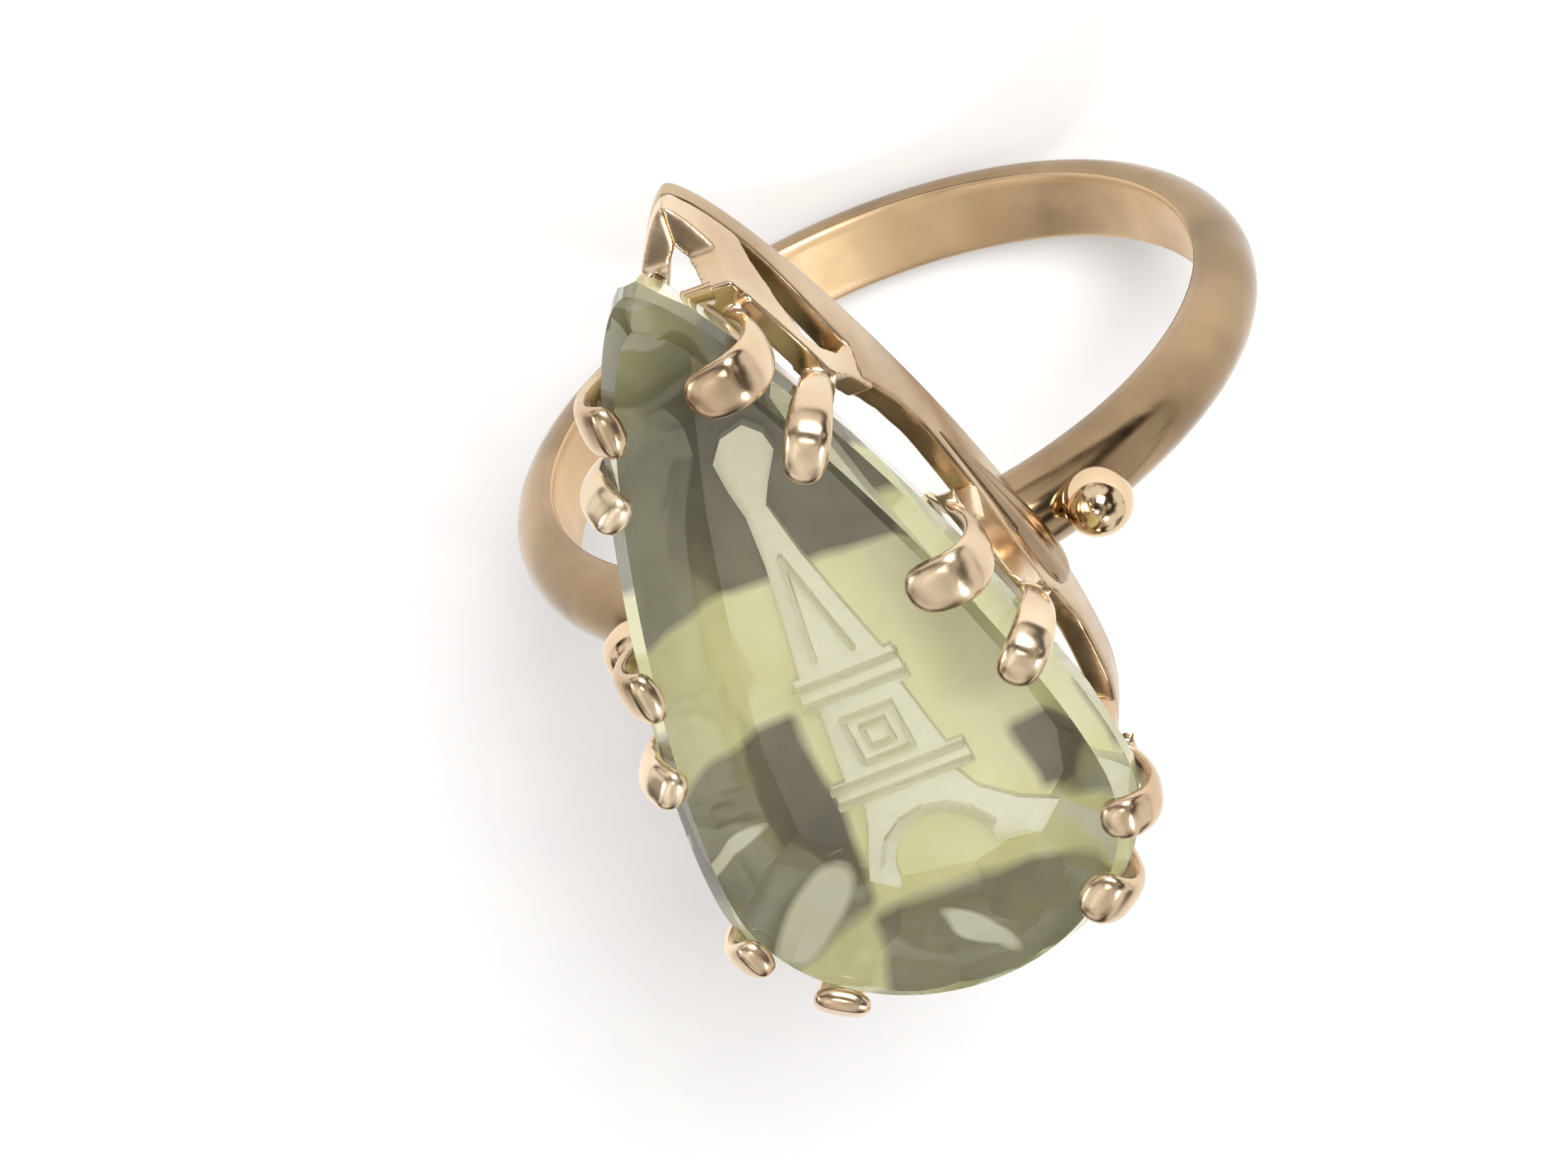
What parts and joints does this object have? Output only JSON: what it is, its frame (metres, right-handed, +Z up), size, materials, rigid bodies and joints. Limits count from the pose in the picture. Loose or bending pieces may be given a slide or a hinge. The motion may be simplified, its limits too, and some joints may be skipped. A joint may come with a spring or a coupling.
{
  "type": "cocktail ring",
  "caption": "Finger ring with a domed shank, beaded shoulders and a pierced pear-shaped gallery whose forked claws hold a large carved pear-shaped stone.",
  "frame": {"origin": "centre of the finger hole, halfway across the shank", "axes": "+Y along the finger towards the stone's narrow end, +Z up through the stone, +X to the side"},
  "size_m": [0.02, 0.0205, 0.0261],
  "materials": {
    "rose_gold": "polished",
    "gem": "polished"
  },
  "bodies": {
    "root": {"shank": "rose_gold", "right_shoulder_tongue": "rose_gold", "left_shoulder_tongue": "rose_gold", "right_shoulder_bead": "rose_gold", "left_shoulder_bead": "rose_gold", "gallery_base_rail": "rose_gold", "tip_cross_bar": "rose_gold", "right_tip_claw_post": "rose_gold", "left_tip_claw_post": "rose_gold", "right_side_claw_post": "rose_gold", "left_side_claw_post": "rose_gold", "right_round_claw_post": "rose_gold", "left_round_claw_post": "rose_gold", "stone": "gem"}
  },
  "joints": []
}
